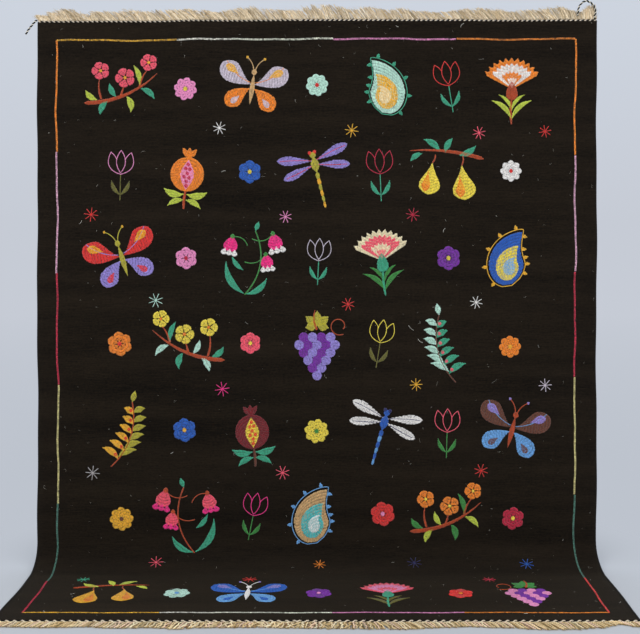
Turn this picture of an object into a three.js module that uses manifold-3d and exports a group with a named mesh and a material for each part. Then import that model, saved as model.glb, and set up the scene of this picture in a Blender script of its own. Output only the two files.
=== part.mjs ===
// A hung kilim rug: one flat-woven wool cloth that leans back from its top edge, bends forward and ends flat
// on the floor, with a row of twining and a cotton fringe at each hem.
// Millimetres, +Z up. The cloth's face looks to -Y, and its top leans towards +Y.
// The origin is the middle of the foot's flat underside.

import * as THREE from "three";
import Module from "manifold-3d";

const wasm = await Module();
wasm.setup();

const { clamp, degToRad, lerp, seededRandom, smoothstep } = THREE.MathUtils;

// Cloth
const CLOTH_WIDTH = 1600;
const CLOTH_THICKNESS = 3;
const COLUMNS = 24;

// Hang: the leaning part and the foot would meet in a corner, which the bend rounds off
const LEAN = degToRad(5.12);
const HEM_TO_CORNER = 1563;
const CORNER_TO_FRONT_HEM = 428;
const UPPER_BEND = { radius: 71, turn: degToRad(50) };
const LOWER_BEND = { radius: 133, turn: degToRad(90) - LEAN - UPPER_BEND.turn };

// Unevenness: soft ripples over the leaning part, uneven selvedges, a bend that strays to the right and a
// top hem that hangs lower at its left end
const RIPPLES = [
  { height: 2.4, across: 780, down: 2600, shift: 0.4 },
  { height: 1.5, across: 430, down: -1900, shift: 1.9 },
  { height: 0.8, across: 260, down: 1100, shift: 4.1 },
];
const RIPPLE_FADE = 500;
const SELVEDGE_WAVES = [
  { height: 1.2, length: 610, shift: 0.3 },
  { height: 0.7, length: 233, shift: 2.2 },
];
const BEND_STRAY = { aside: 3.3, from: 1500, to: 1880 };
const CORNER_DIP = { depth: 4.4, from: -320, to: -480, fade: 420 };

// Twining: two yarns twisted round the warps, tighter at the top hem, their slant reversed at one place
const GAP = 0.3;
const TWINING = { height: 9, depth: 5.4, reversalAt: -48 };
const TOP_TOOTH_PITCH = 13.8;
const FRONT_TOOTH_PITCH = 19.7;

// Fringe: locks of warp ends, fused at their roots into a narrow strip beyond the twining
const STRIP = { height: 4, depth: 6 };
const LOCK_COUNT = 124;
const STANDING_LOCK = {
  rootRadius: 2,
  middleRadius: 3.2,
  middleShare: 0.45,
  tipRadius: 1.5,
  curl: degToRad(8),
  shortest: 0.9,
  longest: 1.06,
  strayBack: 1.2,
  strayForward: 2.8,
};
const LYING_LOCK = {
  width: 7.6,
  height: 6.4,
  rootWidth: 3,
  rootLift: 1.5,
  rootHeight: 3,
  tipShare: 0.75,
  shortest: 0.92,
  longest: 1.05,
};

// The standing fringe in clumps: where each ends to the right, how tall it is above the hem, how far it leans
const STANDING_CLUMPS = [
  { to: -787, tall: 23, lean: 50 },
  { to: -757, tall: 26, lean: 46 },
  { to: -735, tall: 30, lean: 46 },
  { to: -664, tall: 39, lean: 46 },
  { to: -640, tall: 22, lean: 48 },
  { to: -565, tall: 31, lean: 44 },
  { to: -540, tall: 28, lean: 44 },
  { to: -500, tall: 36, lean: 42 },
  { to: -430, tall: 32, lean: 44 },
  { to: -325, tall: 33, lean: 44 },
  { to: -215, tall: 28, lean: 40 },
  { to: -140, tall: 40, lean: 35 },
  { to: -98, tall: 32, lean: 40 },
  { to: -20, tall: 34, lean: 36 },
  { to: 98, tall: 44, lean: 32 },
  { to: 118, tall: 33, lean: 34 },
  { to: 190, tall: 40, lean: 34 },
  { to: 240, tall: 29, lean: 40 },
  { to: 286, tall: 35, lean: 38 },
  { to: 455, tall: 28, lean: 42 },
  { to: 510, tall: 34, lean: 38 },
  { to: 545, tall: 38, lean: 36 },
  { to: 614, tall: 28, lean: 42 },
  { to: 675, tall: 35, lean: 38 },
  { to: 700, tall: 33, lean: 36 },
  { to: 740, tall: 39, lean: 24 },
  { to: 765, tall: 25, lean: 4 },
  { to: 782, tall: 34, lean: -14 },
  { to: 800, tall: 47, lean: -5 },
];

// The lying fringe in stretches: where each ends to the right, how far it reaches, how far it slants right
const LYING_STRETCHES = [
  { to: -700, reach: 37, slant: -26 },
  { to: -500, reach: 41, slant: -28 },
  { to: -361, reach: 46, slant: -18 },
  { to: -300, reach: 53, slant: -20 },
  { to: -262, reach: 43, slant: -22 },
  { to: -16, reach: 41, slant: -16 },
  { to: 112, reach: 48, slant: -8 },
  { to: 262, reach: 53, slant: 24 },
  { to: 330, reach: 41, slant: 22 },
  { to: 385, reach: 35, slant: 22 },
  { to: 500, reach: 43, slant: 22 },
  { to: 560, reach: 55, slant: 24 },
  { to: 650, reach: 54, slant: 18 },
  { to: 690, reach: 43, slant: 26 },
  { to: 755, reach: 20, slant: 50 },
  { to: 800, reach: 38, slant: 12 },
];

// Twining ends: free ends of the top hem's cord, as flat places across, down and off the back
const CORD = { diameter: 5.6, sides: 8, stepsPerDiameter: 0.5 };
const LEFT_END = [
  { u: -802, v: -4.8, lift: 1.8 },
  { u: -806, v: -4, lift: 2.8 },
  { u: -811, v: 2, lift: 4 },
  { u: -818, v: 12, lift: 5.5 },
  { u: -825.5, v: 22.5, lift: 7 },
  { u: -832.5, v: 36, lift: 8 },
];
const RIGHT_END = [
  { u: 794.5, v: -3.5, lift: 7.6 },
  { u: 791.8, v: -5.2, lift: 9 },
  { u: 792.1, v: -11, lift: 10.8 },
  { u: 794.4, v: -21.8, lift: 11.6 },
  { u: 791.6, v: -34.2, lift: 12.5 },
  { u: 786.1, v: -43.7, lift: 13 },
  { u: 776.1, v: -50.4, lift: 14 },
  { u: 768.4, v: -53.4, lift: 14 },
  { u: 761.5, v: -52, lift: 14 },
  { u: 755.6, v: -48, lift: 14 },
  { u: 748, v: -38.8, lift: 13 },
  { u: 745, v: -28, lift: 12 },
  { u: 744.4, v: -18.8, lift: 11.3 },
  { u: 742.5, v: -12.6, lift: 11 },
];

// The hang's side profile, as stretches from the top hem down
const bendTurn = UPPER_BEND.turn + LOWER_BEND.turn;
const bendDrop =
  UPPER_BEND.radius * Math.sin(UPPER_BEND.turn) +
  LOWER_BEND.radius * (Math.sin(bendTurn) - Math.sin(UPPER_BEND.turn));
const bendReach =
  UPPER_BEND.radius * (1 - Math.cos(UPPER_BEND.turn)) +
  LOWER_BEND.radius * (Math.cos(UPPER_BEND.turn) - Math.cos(bendTurn));
const cutFromFoot = bendReach / Math.sin(bendTurn);
const cutFromHang = bendDrop - cutFromFoot * Math.cos(bendTurn);
const LEANING_LENGTH = HEM_TO_CORNER - cutFromHang;
const FOOT_LENGTH = CORNER_TO_FRONT_HEM - cutFromFoot;
const STRETCHES = [
  { length: LEANING_LENGTH, turn: 0, rows: 16 },
  { length: UPPER_BEND.radius * UPPER_BEND.turn, turn: UPPER_BEND.turn, rows: 6 },
  { length: LOWER_BEND.radius * LOWER_BEND.turn, turn: LOWER_BEND.turn, rows: 5 },
  { length: FOOT_LENGTH, turn: 0, rows: 4 },
];
const CLOTH_LENGTH = STRETCHES.reduce((sum, stretch) => sum + stretch.length, 0);
const cornerY = CORNER_TO_FRONT_HEM - FOOT_LENGTH / 2;
const TOP_HEM = {
  y: cornerY + HEM_TO_CORNER * Math.sin(LEAN),
  z: HEM_TO_CORNER * Math.cos(LEAN),
};

// Where the cloth's back is at a length v down from the top hem, and which way it heads from straight down.
function profile(v) {
  const at = { y: TOP_HEM.y, z: TOP_HEM.z, heading: LEAN };
  let left = v;
  STRETCHES.forEach((stretch, i) => {
    const last = i === STRETCHES.length - 1;
    const length = last ? left : Math.min(left, stretch.length);
    left -= length;
    if (stretch.turn === 0) {
      at.y -= length * Math.sin(at.heading);
      at.z -= length * Math.cos(at.heading);
    } else {
      const radius = stretch.length / stretch.turn;
      const next = at.heading + length / radius;
      at.y += radius * (Math.cos(next) - Math.cos(at.heading));
      at.z -= radius * (Math.sin(next) - Math.sin(at.heading));
      at.heading = next;
    }
  });
  return at;
}

function ripple(u, v) {
  const still = smoothstep(v, LEANING_LENGTH - RIPPLE_FADE, LEANING_LENGTH);
  const wave = (r) => r.height * Math.sin(2 * Math.PI * (u / r.across + v / r.down) + r.shift);
  return (1 - still) * RIPPLES.reduce((sum, r) => sum + wave(r), 0);
}

// The true place of a flat point: u across from the middle, v down from the top hem, lift off the back.
function drape(u, v, lift) {
  const side = u / (CLOTH_WIDTH / 2);
  const wander = SELVEDGE_WAVES.reduce(
    (sum, w) => sum + w.height * Math.sin((2 * Math.PI * v) / w.length + w.shift + side),
    0,
  );
  const stray = clamp((v - BEND_STRAY.from) / (BEND_STRAY.to - BEND_STRAY.from), 0, 1);
  const dip =
    CORNER_DIP.depth *
    smoothstep(-u, -CORNER_DIP.from, -CORNER_DIP.to) *
    (1 - smoothstep(v, 0, CORNER_DIP.fade));
  const at = profile(v + dip);
  const off = lift + ripple(u, v);
  return new THREE.Vector3(
    u + wander * side * Math.abs(side) + BEND_STRAY.aside * Math.sin(Math.PI * stray) ** 2,
    at.y - off * Math.cos(at.heading),
    at.z + off * Math.sin(at.heading),
  );
}

function signedVolume(points, faces) {
  let sum = 0;
  for (let i = 0; i < faces.length; i += 3) {
    const [a, b, c] = [points[faces[i]], points[faces[i + 1]], points[faces[i + 2]]];
    sum += a.dot(new THREE.Vector3().crossVectors(b, c));
  }
  return sum / 6;
}

// A closed solid through rings of as many corners each, its two ends closed by a ladder of faces.
function ringSolid(rings) {
  const corners = rings[0].length;
  const faces = [];
  rings.slice(1).forEach((_, r) => {
    for (let c = 0; c < corners; c++) {
      const a = r * corners + c;
      const b = r * corners + ((c + 1) % corners);
      faces.push(a, b, a + corners, b, b + corners, a + corners);
    }
  });
  const end = (rings.length - 1) * corners;
  for (let i = 0, j = corners - 1; i + 1 < j; i++, j--) {
    faces.push(i, j, i + 1, end + i, end + i + 1, end + j);
    if (i + 1 < j - 1) faces.push(i + 1, j, j - 1, end + i + 1, end + j - 1, end + j);
  }
  const points = rings.flat();
  if (signedVolume(points, faces) < 0) faces.reverse();
  const geometry = new THREE.BufferGeometry();
  geometry.setFromPoints(points);
  geometry.setIndex(faces);
  return geometry;
}

function joined(geometries) {
  const solids = geometries.map((geometry) => {
    const vertProperties = geometry.attributes.position.array;
    const triVerts = new Uint32Array(geometry.index.array);
    return new wasm.Manifold(new wasm.Mesh({ numProp: 3, vertProperties, triVerts }));
  });
  const mesh = solids.reduce((whole, solid) => whole.add(solid)).getMesh();
  const geometry = new THREE.BufferGeometry();
  geometry.setAttribute("position", new THREE.BufferAttribute(mesh.vertProperties, 3));
  geometry.setIndex(new THREE.BufferAttribute(mesh.triVerts, 1));
  return geometry;
}

const spaced = (count, from, to) =>
  Array.from({ length: count + 1 }, (_, i) => lerp(from, to, i / count));

function clothGeometry() {
  const across = spaced(COLUMNS, -CLOTH_WIDTH / 2, CLOTH_WIDTH / 2);
  const back = [...across].reverse();
  const down = [0];
  for (const { length, rows } of STRETCHES) {
    const from = down.at(-1);
    down.push(...spaced(rows, from, from + length).slice(1));
  }
  const ring = (v) => [
    ...across.map((u) => drape(u, v, CLOTH_THICKNESS)),
    ...back.map((u) => drape(u, v, 0)),
  ];
  return ringSolid(down.map(ring).reverse());
}

// One hem's twining: a flattened bar of four corners that turns a quarter for each tooth.
function twiningGeometry(hem) {
  const steps = Math.round((2 * CLOTH_WIDTH) / hem.toothPitch);
  const middleV = hem.v + hem.out * (GAP + TWINING.height / 2);
  const ring = (u) => {
    const turn = (Math.abs(u - TWINING.reversalAt) / hem.toothPitch) * (Math.PI / 2);
    return [0, 1, 2, 3].map((corner) => {
      const angle = turn + (corner * Math.PI) / 2;
      const v = middleV + (TWINING.height / 2) * Math.cos(angle);
      return drape(u, v, hem.twiningLift + (TWINING.depth / 2) * Math.sin(angle));
    });
  };
  return ringSolid(spaced(steps, -CLOTH_WIDTH / 2, CLOTH_WIDTH / 2).map(ring));
}

function stripGeometry(hem) {
  const near = hem.v + hem.out * (2 * GAP + TWINING.height);
  const far = near + hem.out * STRIP.height;
  const [low, high] = [Math.min(near, far), Math.max(near, far)];
  const ring = (u) => [
    drape(u, low, 0),
    drape(u, high, 0),
    drape(u, high, STRIP.depth),
    drape(u, low, STRIP.depth),
  ];
  return ringSolid(spaced(COLUMNS, -CLOTH_WIDTH / 2, CLOTH_WIDTH / 2).map(ring));
}

// A value of a table of stretches at a place, eased from one stretch's middle to the next one's.
function eased(stretches, u, key) {
  const middles = stretches.map(({ to }, i) => (to + (stretches[i - 1]?.to ?? -CLOTH_WIDTH / 2)) / 2);
  const next = middles.findIndex((middle) => middle > u);
  if (next === 0) return stretches[0][key];
  if (next < 0) return stretches.at(-1)[key];
  const share = smoothstep(u, middles[next - 1], middles[next]);
  return lerp(stretches[next - 1][key], stretches[next][key], share);
}

// A lock that stands at the top hem: three-sided, leaning left, its lean growing towards the tip.
function standingLock(u, hem) {
  const form = STANDING_LOCK;
  const root = hem.v + hem.out * (2 * GAP + TWINING.height + STRIP.height / 2);
  const lean = degToRad(eased(STANDING_CLUMPS, u, "lean"));
  const share = lerp(form.shortest, form.longest, seededRandom());
  const tall = eased(STANDING_CLUMPS, u, "tall") * share + root;
  const stray = lerp(-form.strayBack, form.strayForward, seededRandom());
  const ring = ({ up, radius }) => {
    const slant = lean + form.curl * up;
    const middle = { u: u - tall * up * Math.tan(slant), v: root - tall * up };
    return [0, 1, 2].map((corner) => {
      const angle = (corner * 2 * Math.PI) / 3;
      const aside = radius * Math.cos(angle);
      const lift = STRIP.depth / 2 + stray * up + radius * Math.sin(angle);
      return drape(middle.u + aside * Math.cos(slant), middle.v - aside * Math.sin(slant), lift);
    });
  };
  const rings = [
    { up: 0, radius: form.rootRadius },
    { up: form.middleShare, radius: form.middleRadius },
    { up: 1, radius: form.tipRadius },
  ];
  return ringSolid(rings.map(ring));
}

// A lock that lies at the front hem: three-sided, level on the floor from the strip to its tip.
function lyingLock(u, hem) {
  const form = LYING_LOCK;
  const root = hem.v + hem.out * (2 * GAP + TWINING.height + STRIP.height / 2);
  const slant = degToRad(eased(LYING_STRETCHES, u, "slant"));
  const share = lerp(form.shortest, form.longest, seededRandom());
  const reach = eased(LYING_STRETCHES, u, "reach") * share + hem.v - root;
  const clear = (STRIP.height + form.width) / (2 * reach);
  const ring = ({ along, wide, low, high }) => {
    const middle = { u: u + reach * along * Math.tan(slant), v: root + reach * along };
    const corner = (aside, lift) =>
      drape(middle.u + aside * Math.cos(slant), middle.v - aside * Math.sin(slant), lift);
    return [corner(-wide / 2, low), corner(0, high), corner(wide / 2, low)];
  };
  const { rootLift, rootHeight, tipShare, width, height, rootWidth } = form;
  const rings = [
    { along: 0, wide: rootWidth, low: rootLift, high: rootLift + rootHeight },
    { along: clear, wide: width, low: 0, high: height },
    { along: 1, wide: width * tipShare, low: 0, high: height * tipShare },
  ];
  return ringSolid(rings.map(ring));
}

function fringeGeometry(hem, lock) {
  const pitch = CLOTH_WIDTH / LOCK_COUNT;
  const roots = spaced(LOCK_COUNT - 1, (pitch - CLOTH_WIDTH) / 2, (CLOTH_WIDTH - pitch) / 2);
  return joined([stripGeometry(hem), ...roots.map((u) => lock(u, hem))]);
}

function cordGeometry(route) {
  const curve = new THREE.CatmullRomCurve3(route.map(({ u, v, lift }) => drape(u, v, lift)));
  const section = new THREE.Shape().absarc(0, 0, CORD.diameter / 2, 0, 2 * Math.PI);
  const steps = Math.round((curve.getLength() / CORD.diameter) * CORD.stepsPerDiameter);
  return new THREE.ExtrudeGeometry(section, {
    extrudePath: curve,
    steps,
    curveSegments: CORD.sides / 2,
  });
}

const TOP = { v: 0, out: -1, twiningLift: CLOTH_THICKNESS / 2, toothPitch: TOP_TOOTH_PITCH };
const FRONT = { v: CLOTH_LENGTH, out: 1, twiningLift: TWINING.depth / 2, toothPitch: FRONT_TOOTH_PITCH };

const wool = new THREE.MeshStandardMaterial({ color: "#1f1c18", roughness: 0.95, metalness: 0 });
const twinedYarn = new THREE.MeshStandardMaterial({ color: "#8d8069", roughness: 0.9, metalness: 0 });
const cotton = new THREE.MeshStandardMaterial({ color: "#cdb695", roughness: 0.95, metalness: 0 });

const rug = new THREE.Group();

function addPiece(name, geometry, material) {
  const mesh = new THREE.Mesh(geometry, material.clone());
  mesh.name = name;
  rug.add(mesh);
}

addPiece("kilim_cloth", clothGeometry(), wool);
addPiece("twining_top", twiningGeometry(TOP), twinedYarn);
addPiece("twining_bottom", twiningGeometry(FRONT), twinedYarn);
addPiece("fringe_top", fringeGeometry(TOP, standingLock), cotton);
addPiece("fringe_bottom", fringeGeometry(FRONT, lyingLock), cotton);
addPiece("twining_end_left", cordGeometry(LEFT_END), twinedYarn);
addPiece("twining_end_right", cordGeometry(RIGHT_END), twinedYarn);

export default rug;
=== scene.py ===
import math

import bpy
import numpy as np
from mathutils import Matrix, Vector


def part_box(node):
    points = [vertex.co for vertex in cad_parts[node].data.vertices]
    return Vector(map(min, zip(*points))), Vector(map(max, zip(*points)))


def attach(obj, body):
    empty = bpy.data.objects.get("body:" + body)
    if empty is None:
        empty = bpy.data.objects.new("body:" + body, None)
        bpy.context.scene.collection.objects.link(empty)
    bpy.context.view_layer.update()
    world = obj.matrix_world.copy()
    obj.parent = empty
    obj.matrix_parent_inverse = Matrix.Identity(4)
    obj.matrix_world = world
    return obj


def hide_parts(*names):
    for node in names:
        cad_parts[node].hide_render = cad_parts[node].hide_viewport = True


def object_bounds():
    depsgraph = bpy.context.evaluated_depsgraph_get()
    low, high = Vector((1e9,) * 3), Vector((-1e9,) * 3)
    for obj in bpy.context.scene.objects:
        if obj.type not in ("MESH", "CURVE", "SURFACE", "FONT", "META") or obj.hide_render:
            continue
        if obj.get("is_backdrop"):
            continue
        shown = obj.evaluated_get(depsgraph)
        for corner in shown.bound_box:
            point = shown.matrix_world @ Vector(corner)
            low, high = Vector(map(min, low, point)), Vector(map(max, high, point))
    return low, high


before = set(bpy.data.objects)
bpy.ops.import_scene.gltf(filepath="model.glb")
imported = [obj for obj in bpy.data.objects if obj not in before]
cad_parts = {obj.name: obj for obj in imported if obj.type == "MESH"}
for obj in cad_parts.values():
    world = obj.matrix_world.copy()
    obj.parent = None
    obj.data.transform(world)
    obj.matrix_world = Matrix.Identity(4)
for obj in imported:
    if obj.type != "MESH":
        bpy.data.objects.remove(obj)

cad_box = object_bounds()
rng = np.random.default_rng(7)

# The view
# The rug is seen straight on from chest height, three metres off, with the lens tilted down as far as the
# cloth leans back, so that its leaning part keeps its square corners.
FOOT_DEPTH = 428.0
LEAN = math.radians(5.12)
LENS_MM = 59.6
ASIDE, AWAY, UP = 0.0085, 2.964, 0.9826
cloth_low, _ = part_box("kilim_cloth")
corner_y = cloth_low.y + FOOT_DEPTH / 1000
camera_data = bpy.data.cameras.new("camera")
camera_data.lens = LENS_MM
camera = bpy.data.objects.new("camera", camera_data)
bpy.context.scene.collection.objects.link(camera)
camera.location = (ASIDE, corner_y - AWAY, UP)
camera.rotation_euler = (math.radians(90) - LEAN, 0, 0)
bpy.context.scene.camera = camera
bpy.context.scene.view_settings.view_transform = "Standard"

# The hang of the cloth
# One flat-woven wool cloth, held at its top hem, leans back, bends forward in two arcs and lies flat on the
# floor. Places on it are given flat, in mm: u across from the middle, v down from the top hem, and lift off
# its back.
WIDTH = 1600.0
THICKNESS = 3.0
HEM_TO_CORNER = 1563.0
UPPER_RADIUS, UPPER_TURN = 71.0, math.radians(50)
LOWER_RADIUS, LOWER_TURN = 133.0, math.radians(90) - LEAN - UPPER_TURN
RIPPLES = [
    # height, length across, length down, shift
    (2.4, 780, 2600, 0.4),
    (1.5, 430, -1900, 1.9),
    (0.8, 260, 1100, 4.1),
]
RIPPLE_FADE = 500.0
SELVEDGE_WAVES = [
    # height, length, shift
    (1.2, 610, 0.3),
    (0.7, 233, 2.2),
]
STRAY, STRAY_FROM, STRAY_TO = 3.3, 1500.0, 1880.0
DIP_DEPTH, DIP_FROM, DIP_TO, DIP_FADE = 4.4, 320.0, 480.0, 420.0

bend_turn = UPPER_TURN + LOWER_TURN
bend_drop = UPPER_RADIUS * math.sin(UPPER_TURN) + LOWER_RADIUS * (math.sin(bend_turn) - math.sin(UPPER_TURN))
bend_reach = UPPER_RADIUS * (1 - math.cos(UPPER_TURN)) + LOWER_RADIUS * (
    math.cos(UPPER_TURN) - math.cos(bend_turn)
)
cut_from_foot = bend_reach / math.sin(bend_turn)
LEANING = HEM_TO_CORNER - (bend_drop - cut_from_foot * math.cos(bend_turn))
UPPER_END = LEANING + UPPER_RADIUS * UPPER_TURN
BEND_END = UPPER_END + LOWER_RADIUS * LOWER_TURN
LENGTH = BEND_END + FOOT_DEPTH - cut_from_foot
top_y = corner_y * 1000 + HEM_TO_CORNER * math.sin(LEAN)
top_z = HEM_TO_CORNER * math.cos(LEAN)


def eased(x, low, high):
    """0 below low and 1 above high, with a soft rise between."""
    t = np.clip((x - low) / (high - low), 0, 1)
    return t * t * (3 - 2 * t)


def profile(v):
    """The cloth's back at a length down from the top hem: y, z and the heading from straight down."""
    lean = np.minimum(v, LEANING)
    upper = np.clip(v - LEANING, 0, UPPER_END - LEANING) / UPPER_RADIUS
    lower = np.clip(v - UPPER_END, 0, BEND_END - UPPER_END) / LOWER_RADIUS
    foot = np.maximum(v - BEND_END, 0)
    middle = LEAN + upper
    heading = middle + lower
    y = top_y - lean * math.sin(LEAN) + UPPER_RADIUS * (np.cos(middle) - math.cos(LEAN))
    z = top_z - lean * math.cos(LEAN) - UPPER_RADIUS * (np.sin(middle) - math.sin(LEAN))
    y = y + LOWER_RADIUS * (np.cos(heading) - np.cos(middle)) - foot
    z = z - LOWER_RADIUS * (np.sin(heading) - np.sin(middle))
    return y, z, heading


def drape(flat):
    """The true places, in metres, of flat points (u, v, lift) in millimetres."""
    u, v, lift = np.moveaxis(np.asarray(flat, float), -1, 0)
    side = u / (WIDTH / 2)
    wander = sum(h * np.sin(2 * np.pi * v / length + shift + side) for h, length, shift in SELVEDGE_WAVES)
    stray = STRAY * np.sin(np.pi * np.clip((v - STRAY_FROM) / (STRAY_TO - STRAY_FROM), 0, 1)) ** 2
    dip = DIP_DEPTH * eased(-u, DIP_FROM, DIP_TO) * (1 - eased(v, 0, DIP_FADE))
    y, z, heading = profile(v + dip)
    still = 1 - eased(v, LEANING - RIPPLE_FADE, LEANING)
    ripple = sum(
        h * np.sin(2 * np.pi * (u / across + v / down) + shift) for h, across, down, shift in RIPPLES
    )
    off = lift + still * ripple
    x = u + wander * side * np.abs(side) + stray
    return np.stack([x, y - off * np.cos(heading), z + off * np.sin(heading)], -1) / 1000


# The twining's free ends
# The top hem's cord, thick black wool and thin cream cotton twisted together, runs out at both corners. A
# short end hangs at the left and a long one curls up over the right corner. Both are simply cut off.
CORD_DIAMETER = 5.6
CORD_TURN = 12.0
CREAM, BLACK = "#f3ead4", "#0b0806"
YARNS = [
    # dye, radius, its start in the turn
    (BLACK, 2.1, 0.0),
    (CREAM, 1.1, math.pi),
]
LEFT_END = [
    # u, v, lift
    (-802, -4.8, 1.8), (-806, -4, 2.8), (-811, 2, 4),
    (-818, 12, 5.5), (-825.5, 22.5, 7), (-832.5, 36, 8),
]
RIGHT_END = [
    # u, v, lift
    (794.5, -3.5, 7.6), (791.8, -5.2, 9), (792.1, -11, 10.8), (794.4, -21.8, 11.6),
    (791.6, -34.2, 12.5), (786.1, -43.7, 13), (776.1, -50.4, 14), (768.4, -53.4, 14),
    (761.5, -52, 14), (755.6, -48, 14), (748, -38.8, 13), (745, -28, 12),
    (744.4, -18.8, 11.3), (742.5, -12.6, 11),
]


def linear(colour):
    """An sRGB hex colour as linear red, green, blue and a full alpha."""
    parts = [int(colour[i : i + 2], 16) / 255 for i in (1, 3, 5)]
    return [c / 12.92 if c <= 0.04045 else ((c + 0.055) / 1.055) ** 2.4 for c in parts] + [1.0]


def add_node(tree, kind, links=(), **settings):
    """A node with its settings, and its inputs linked: links is (input, output socket) pairs."""
    node = tree.nodes.new(kind)
    for name, value in settings.items():
        if name.startswith("in_"):
            key = name[3:].replace("_", " ")
            node.inputs[int(key) if key.isdigit() else key].default_value = value
        else:
            setattr(node, name, value)
    for name, socket in links:
        tree.links.new(socket, node.inputs[name])
    return node


def new_material(name):
    material = bpy.data.materials.new(name)
    material.use_nodes = True
    material.node_tree.nodes.clear()
    return material, material.node_tree


def spun_yarn(name, roughness, sheen, spot_mm, contrast):
    """Matt yarn in each thread's own colour, with a soft sheen. It is mottled in spots about a millimetre
    wide, coarser than its real fibres, so that they show."""
    material, tree = new_material(name)
    thread = add_node(tree, "ShaderNodeAttribute", attribute_name="thread")
    place = add_node(tree, "ShaderNodeTexCoord").outputs["Object"]
    mottle = add_node(tree, "ShaderNodeTexNoise", [("Vector", place)], in_Scale=1000 / spot_mm, in_Detail=2.0)
    mottle = mottle.outputs["Fac"]
    shade = add_node(tree, "ShaderNodeMapRange", [("Value", mottle)], in_3=1 - contrast, in_4=1 + contrast)
    links = [(0, thread.outputs["Color"]), ("Scale", shade.outputs[0])]
    colour = add_node(tree, "ShaderNodeVectorMath", links, operation="SCALE")
    bump = add_node(tree, "ShaderNodeBump", [("Height", mottle)], in_Strength=0.35, in_Distance=0.0004)
    shader = add_node(
        tree,
        "ShaderNodeBsdfPrincipled",
        [("Base Color", colour.outputs[0]), ("Normal", bump.outputs[0])],
        in_Roughness=roughness,
        in_Sheen_Weight=sheen,
        in_Sheen_Roughness=0.5,
        in_Specular_IOR_Level=0.15,
    )
    add_node(tree, "ShaderNodeOutputMaterial", [("Surface", shader.outputs[0])])
    return material


def skin(tubes, rings, corners):
    """Triangles of tubes of so many rings and corners each, closed at both ends by a ladder of faces."""
    r, c = [grid.ravel() for grid in np.meshgrid(np.arange(rings - 1), np.arange(corners), indexing="ij")]
    a, b = r * corners + c, r * corners + (c + 1) % corners
    side = np.concatenate([np.stack([a, b, a + corners], -1), np.stack([b, b + corners, a + corners], -1)])
    cap = []
    for i in range((corners - 1) // 2):
        j = corners - 1 - i
        cap.append((i, j, i + 1))
        if i + 1 < j - 1:
            cap.append((i + 1, j, j - 1))
    cap = np.array(cap)
    one = np.concatenate([side, cap, cap[:, ::-1] + (rings - 1) * corners])
    return (one + (np.arange(tubes) * rings * corners)[:, None, None]).reshape(-1, 3)


def tubes(paths, radius, corners=6, flatness=1.0):
    """Closed tubes along flat paths (tube, step, 3), with a radius for each step: points and triangles."""
    along = np.gradient(paths, axis=1)
    along /= np.linalg.norm(along, axis=2, keepdims=True)
    aside = np.cross(along, (0.0, 0.0, 1.0))
    aside /= np.linalg.norm(aside, axis=2, keepdims=True)
    over = np.cross(aside, along)
    angle = (np.arange(corners) + 0.5) * 2 * np.pi / corners
    ring = np.cos(angle)[:, None] * aside[:, :, None] + flatness * np.sin(angle)[:, None] * over[:, :, None]
    radius = np.broadcast_to(radius, paths.shape[:2])
    points = paths[:, :, None] + radius[:, :, None, None] * ring
    return points.reshape(-1, 3), skin(len(paths), paths.shape[1], corners)


def per_point(colours, count):
    """Each tube's colour, given to each of its points."""
    return np.repeat(np.asarray(colours, float), count, axis=0)


def wound(paths, radius, turn, phase=0.0, flatness=1.0):
    """Strands that wind round flat paths at a radius, one full turn for each so many millimetres of path."""
    along = np.gradient(paths, axis=1)
    step = np.linalg.norm(along, axis=2)
    along /= step[..., None]
    aside = np.cross(along, (0.0, 0.0, 1.0))
    aside /= np.linalg.norm(aside, axis=2, keepdims=True)
    over = np.cross(aside, along)
    angle = 2 * np.pi * np.cumsum(step, axis=1) / turn + phase
    return paths + radius * (np.cos(angle)[..., None] * aside + flatness * np.sin(angle)[..., None] * over)


def resampled(path, spacing):
    """A smooth curve through flat points, as points a spacing apart."""
    path = np.asarray(path, float)
    chord = np.concatenate([[0], np.cumsum(np.linalg.norm(np.diff(path, axis=0), axis=1))])
    slope = np.gradient(path, chord, axis=0)
    s = np.linspace(0, chord[-1], max(3, round(chord[-1] / spacing) + 1))
    k = np.clip(np.searchsorted(chord, s, side="right") - 1, 0, len(chord) - 2)
    span = (chord[k + 1] - chord[k])[:, None]
    t = (s[:, None] - chord[k][:, None]) / span
    ends = path[k] * (2 * t**3 - 3 * t**2 + 1) + path[k + 1] * (3 * t**2 - 2 * t**3)
    return ends + span * (slope[k] * (t**3 - 2 * t**2 + t) + slope[k + 1] * (t**3 - t**2))


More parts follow.
